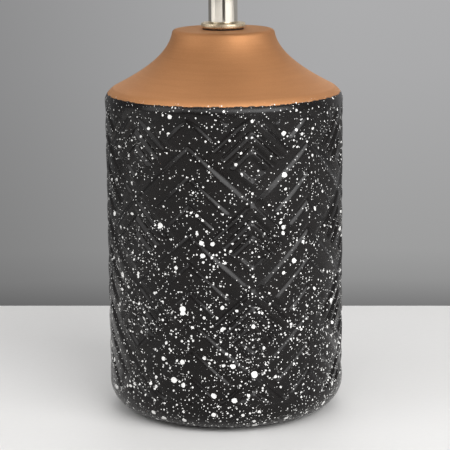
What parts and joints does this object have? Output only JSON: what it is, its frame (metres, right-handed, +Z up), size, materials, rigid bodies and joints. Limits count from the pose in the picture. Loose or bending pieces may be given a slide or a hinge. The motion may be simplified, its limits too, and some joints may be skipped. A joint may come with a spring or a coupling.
{
  "type": "table lamp with shade",
  "caption": "Cylindrical ceramic lamp base with embossed speckled wall and copper shoulder, nickel neck, push-bar screw lampholder and tapered fabric drum shade.",
  "frame": {"origin": "centre of the felt foot's underside, on the surface that the lamp stands on", "axes": "+Z up along the neck and shade axis, -Y the front, +Y the back with the cable inlet, +X the way the switch bar travels"},
  "size_m": [0.241, 0.241, 0.4155],
  "materials": {
    "black_glaze": "satin black glaze over embossed relief, densely flecked with white",
    "copper_glaze": "satin copper metallic coating on the ceramic shoulder",
    "felt": "pressed wool felt",
    "black_steel": "black paint",
    "zinc_steel": "zinc plated",
    "black_rubber": "moulded rubber",
    "nickel": "polished nickel plate",
    "black_plastic": "moulded black thermoset",
    "white_plastic": "moulded white thermoset",
    "porcelain": "unglazed white porcelain",
    "brass": "bright brass",
    "white_steel": "white powder coat",
    "liner_film": "matt white lampshade liner",
    "linen": "natural linen-look weave",
    "linen_tape": "folded self-fabric edge tape"
  },
  "bodies": {
    "base": {"felt_foot": "felt", "bottom_plate": "black_steel", "lock_washer": "zinc_steel", "rod_nut": "zinc_steel", "threaded_rod": "zinc_steel", "ceramic_body": "black_glaze", "cable_grommet": "black_rubber", "cushion_washer": "black_rubber", "neck_washer": "nickel", "neck_tube": "nickel", "tube_cap": "nickel", "holder_cap": "black_plastic", "cap_lock_screw": "zinc_steel", "earth_terminal": "brass", "earth_screw": "zinc_steel", "switch_housing": "white_plastic", "terminal_blocks": "brass", "terminal_screws": "zinc_steel", "holder_core": "porcelain", "centre_contact": "brass", "side_contact": "brass", "screw_shell": "brass", "holder_sleeve": "black_plastic"},
    "switch": {"switch_bar": "black_plastic", "switch_tips": "black_plastic"},
    "shade_ring": {"retaining_ring": "black_plastic"},
    "shade": {"fitter_ring": "white_steel", "fitter_arms": "white_steel", "bottom_wire": "white_steel", "top_wire": "white_steel", "shade_liner": "liner_film", "shade_fabric": "linen", "bottom_trim": "linen_tape", "top_trim": "linen_tape"}
  },
  "joints": [
    {"name": "switch_push", "type": "slide", "parent": "base", "child": "switch", "axis": [1, 0, 0], "range_m": [0, 0.005]},
    {"name": "ring_lift", "type": "slide", "parent": "base", "child": "shade_ring", "axis": [0, 0, 1], "range_m": [0, 0.08]},
    {"name": "shade_swivel", "type": "hinge", "parent": "shade_ring", "child": "shade", "pos_m": [0, 0, 0.29], "axis": [0, 0, 1], "continuous": true}
  ]
}
